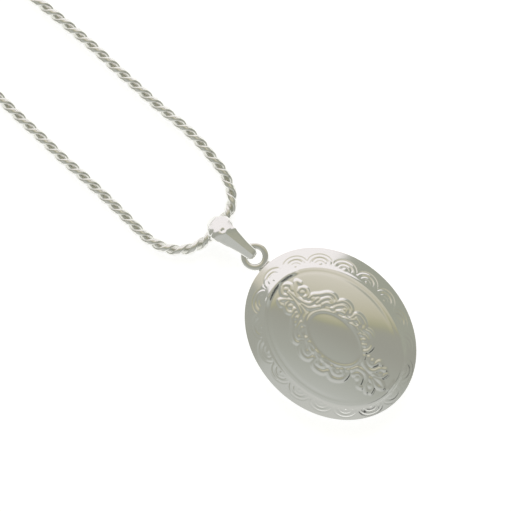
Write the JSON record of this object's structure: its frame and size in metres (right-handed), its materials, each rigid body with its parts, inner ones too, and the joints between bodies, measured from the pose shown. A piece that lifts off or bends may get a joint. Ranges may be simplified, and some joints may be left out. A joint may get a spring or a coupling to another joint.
{
  "type": "oval locket",
  "caption": "Oval hinged locket with an embossed domed front, plain back, fixed top ring, tapered bail and a two-strand twisted chain with a spring-ring clasp.",
  "frame": {"origin": "middle of the flat on the back cover, which the locket lies on", "axes": "+Z out of the front cover, +Y towards the top ring and the bail, +X towards the catch; the hinge is on the -X edge"},
  "size_m": [0.0285, 0.1196, 0.0062],
  "materials": {
    "silver_plate": "bright polished silver plate",
    "silver_satin": "lightly brushed silver plate",
    "silver_chain": "bright polished silver plate",
    "steel_wire": "drawn wire",
    "clear_window": "clear plastic sheet",
    "blank_card": "blank white card"
  },
  "bodies": {
    "chain": {"right_chain": "silver_chain", "left_chain": "silver_chain", "right_chain_coil": "silver_chain", "left_chain_coil": "silver_chain", "right_end_cap": "silver_plate", "left_end_cap": "silver_plate", "tag_ring": "silver_plate", "clasp_body": "silver_plate", "clasp_loop": "silver_plate", "clasp_spring": "steel_wire"},
    "bail": {"bail": "silver_plate"},
    "locket_back": {"back_cover": "silver_plate", "back_rim": "silver_satin", "back_hinge_knuckles": "silver_satin", "hinge_pin": "steel_wire", "catch_spring_plate": "silver_satin", "back_photo_frame": "silver_satin", "back_window": "clear_window", "back_photo_card": "blank_card", "top_ring": "silver_plate", "ring_solder_foot": "silver_satin"},
    "locket_front": {"front_cover": "silver_plate", "front_rim": "silver_satin", "front_hinge_knuckle": "silver_satin", "catch_tongue": "silver_satin", "front_photo_frame": "silver_satin", "front_window": "clear_window", "front_photo_card": "blank_card"},
    "clasp_bolt": {"clasp_bolt": "silver_plate"}
  },
  "joints": [
    {"name": "bail_flip", "type": "hinge", "parent": "chain", "child": "bail", "pos_m": [-0.00089, 0.02367, 0.00165], "axis": [-0.9925, -0.1219, 0], "range_deg": [0, 90]},
    {"name": "locket_sway", "type": "hinge", "parent": "bail", "child": "locket_back", "pos_m": [0, 0.01642, 0.0025], "axis": [0, 0, 1], "range_deg": [-40, 40]},
    {"name": "lid_open", "type": "hinge", "parent": "locket_back", "child": "locket_front", "pos_m": [-0.0103, 0, 0.0029], "axis": [0, -1, 0], "range_deg": [0, 130]},
    {"name": "clasp_open", "type": "hinge", "parent": "chain", "child": "clasp_bolt", "pos_m": [0.00045, 0.0887, 0.0006], "axis": [0, 0, 1], "range_deg": [0, 60], "stiffness_Nm_per_rad": 0.0004}
  ]
}
